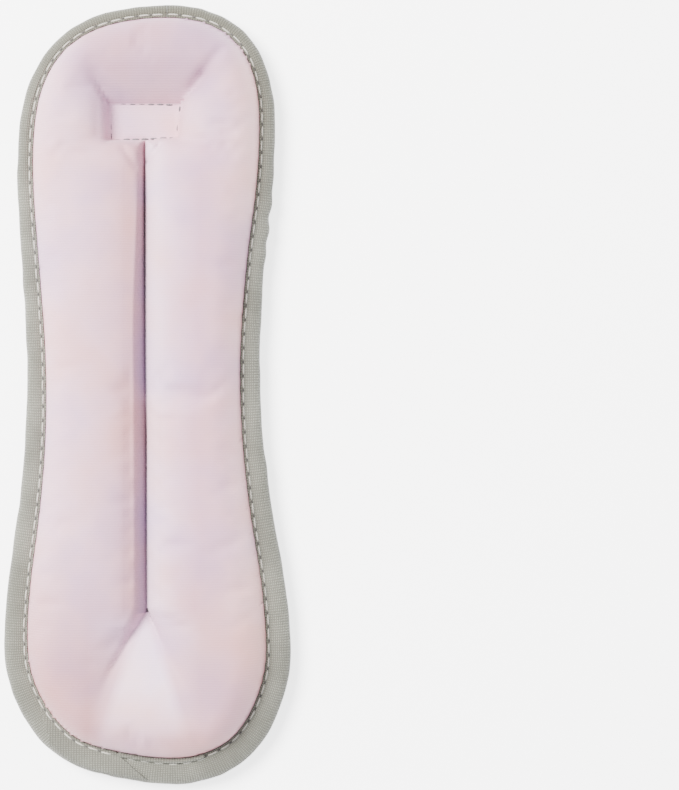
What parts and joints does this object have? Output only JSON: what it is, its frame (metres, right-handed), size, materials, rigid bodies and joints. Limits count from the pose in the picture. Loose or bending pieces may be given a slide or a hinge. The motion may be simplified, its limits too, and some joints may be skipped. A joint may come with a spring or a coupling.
{
  "type": "ankle cuff weight",
  "caption": "Soft waisted cuff weight with iron-sand channels either side of a centre seam, a bound edge and a hook-and-loop strap folded beneath",
  "frame": {"origin": "middle of the cuff's bounding box in plan, on the surface it rests on", "axes": "+Y runs along the cuff towards the strap end, +X to the right seen from above, +Z out of the skin face"},
  "size_m": [0.1027, 0.279, 0.022],
  "materials": {
    "skin_panel": "smooth knitted neoprene, pale pink",
    "outer_panel": "plain woven nylon, grey",
    "binding_tape": "fine ribbed tape, sage grey",
    "thread": "matt sewing thread, dark grey",
    "iron_sand": "loose iron sand, dark grey",
    "strap": "woven webbing, grey",
    "hook_tape": "moulded hook tape, grey",
    "loop_patch": "brushed loop tape, grey"
  },
  "bodies": {
    "pad_row_1": {"skin_panel_1": "skin_panel", "outer_panel_1": "outer_panel", "iron_sand_1": "iron_sand", "binding_tape_1": "binding_tape", "centre_stitch_1": "thread", "box_stitch": "thread", "strap_root": "strap"},
    "pad_row_2": {"skin_panel_2": "skin_panel", "outer_panel_2": "outer_panel", "iron_sand_left_2": "iron_sand", "iron_sand_right_2": "iron_sand", "binding_tape_left_2": "binding_tape", "binding_tape_right_2": "binding_tape", "centre_stitch_2": "thread"},
    "pad_row_3": {"skin_panel_3": "skin_panel", "outer_panel_3": "outer_panel", "iron_sand_left_3": "iron_sand", "iron_sand_right_3": "iron_sand", "binding_tape_left_3": "binding_tape", "binding_tape_right_3": "binding_tape", "centre_stitch_3": "thread"},
    "root": {"skin_panel_4": "skin_panel", "outer_panel_4": "outer_panel", "iron_sand_left_4": "iron_sand", "iron_sand_right_4": "iron_sand", "binding_tape_left_4": "binding_tape", "binding_tape_right_4": "binding_tape", "centre_stitch_4": "thread"},
    "pad_row_5": {"skin_panel_5": "skin_panel", "outer_panel_5": "outer_panel", "iron_sand_left_5": "iron_sand", "iron_sand_right_5": "iron_sand", "binding_tape_left_5": "binding_tape", "binding_tape_right_5": "binding_tape", "centre_stitch_5": "thread"},
    "pad_row_6": {"skin_panel_6": "skin_panel", "outer_panel_6": "outer_panel", "binding_tape_left_6": "binding_tape", "binding_tape_right_6": "binding_tape", "centre_stitch_6": "thread", "loop_patch_1": "loop_patch", "iron_sand_6": "iron_sand"},
    "pad_row_7": {"skin_panel_7": "skin_panel", "outer_panel_7": "outer_panel", "iron_sand_7": "iron_sand", "binding_tape_7": "binding_tape", "loop_patch_2": "loop_patch"},
    "strap_1": {"strap_link_1": "strap"},
    "strap_2": {"strap_link_2": "strap"},
    "strap_3": {"strap_link_3": "strap"},
    "strap_4": {"strap_link_4": "strap", "hook_tape": "hook_tape"}
  },
  "joints": [
    {"name": "wrap", "type": "hinge", "parent": "root", "child": "pad_row_3", "pos_m": [0, 0.008, 0.01], "axis": [1, 0, 0], "range_deg": [0, 42]},
    {"name": "wrap_row_2", "type": "hinge", "parent": "pad_row_3", "child": "pad_row_2", "pos_m": [0, 0.04, 0.01], "axis": [1, 0, 0], "range_deg": [0, 42]},
    {"name": "wrap_row_1", "type": "hinge", "parent": "pad_row_2", "child": "pad_row_1", "pos_m": [0, 0.072, 0.01], "axis": [1, 0, 0], "range_deg": [0, 42]},
    {"name": "wrap_row_5", "type": "hinge", "parent": "root", "child": "pad_row_5", "pos_m": [0, -0.024, 0.01], "axis": [-1, 0, 0], "range_deg": [0, 42]},
    {"name": "wrap_row_6", "type": "hinge", "parent": "pad_row_5", "child": "pad_row_6", "pos_m": [0, -0.056, 0.01], "axis": [-1, 0, 0], "range_deg": [0, 42]},
    {"name": "wrap_row_7", "type": "hinge", "parent": "pad_row_6", "child": "pad_row_7", "pos_m": [0, -0.088, 0.01], "axis": [-1, 0, 0], "range_deg": [0, 42]},
    {"name": "strap_unfold", "type": "hinge", "parent": "pad_row_1", "child": "strap_1", "pos_m": [0, 0.1055, 0.003], "axis": [1, 0, 0], "range_deg": [0, 180]},
    {"name": "strap_close", "type": "hinge", "parent": "strap_1", "child": "strap_2", "pos_m": [0, 0.069, 0.002], "axis": [1, 0, 0], "range_deg": [0, 36]},
    {"name": "strap_close_3", "type": "hinge", "parent": "strap_2", "child": "strap_3", "pos_m": [0, 0.0587, 0.002], "axis": [1, 0, 0], "range_deg": [0, 36]},
    {"name": "strap_close_4", "type": "hinge", "parent": "strap_3", "child": "strap_4", "pos_m": [0, 0.0484, 0.002], "axis": [1, 0, 0], "range_deg": [0, 36]}
  ],
  "couplings": [
    {"joint": "wrap_row_2", "follows": "wrap", "ratio": 1},
    {"joint": "wrap_row_1", "follows": "wrap", "ratio": 1},
    {"joint": "wrap_row_5", "follows": "wrap", "ratio": 1},
    {"joint": "wrap_row_6", "follows": "wrap", "ratio": 1},
    {"joint": "wrap_row_7", "follows": "wrap", "ratio": 1},
    {"joint": "strap_close_3", "follows": "strap_close", "ratio": 1},
    {"joint": "strap_close_4", "follows": "strap_close", "ratio": 1}
  ]
}
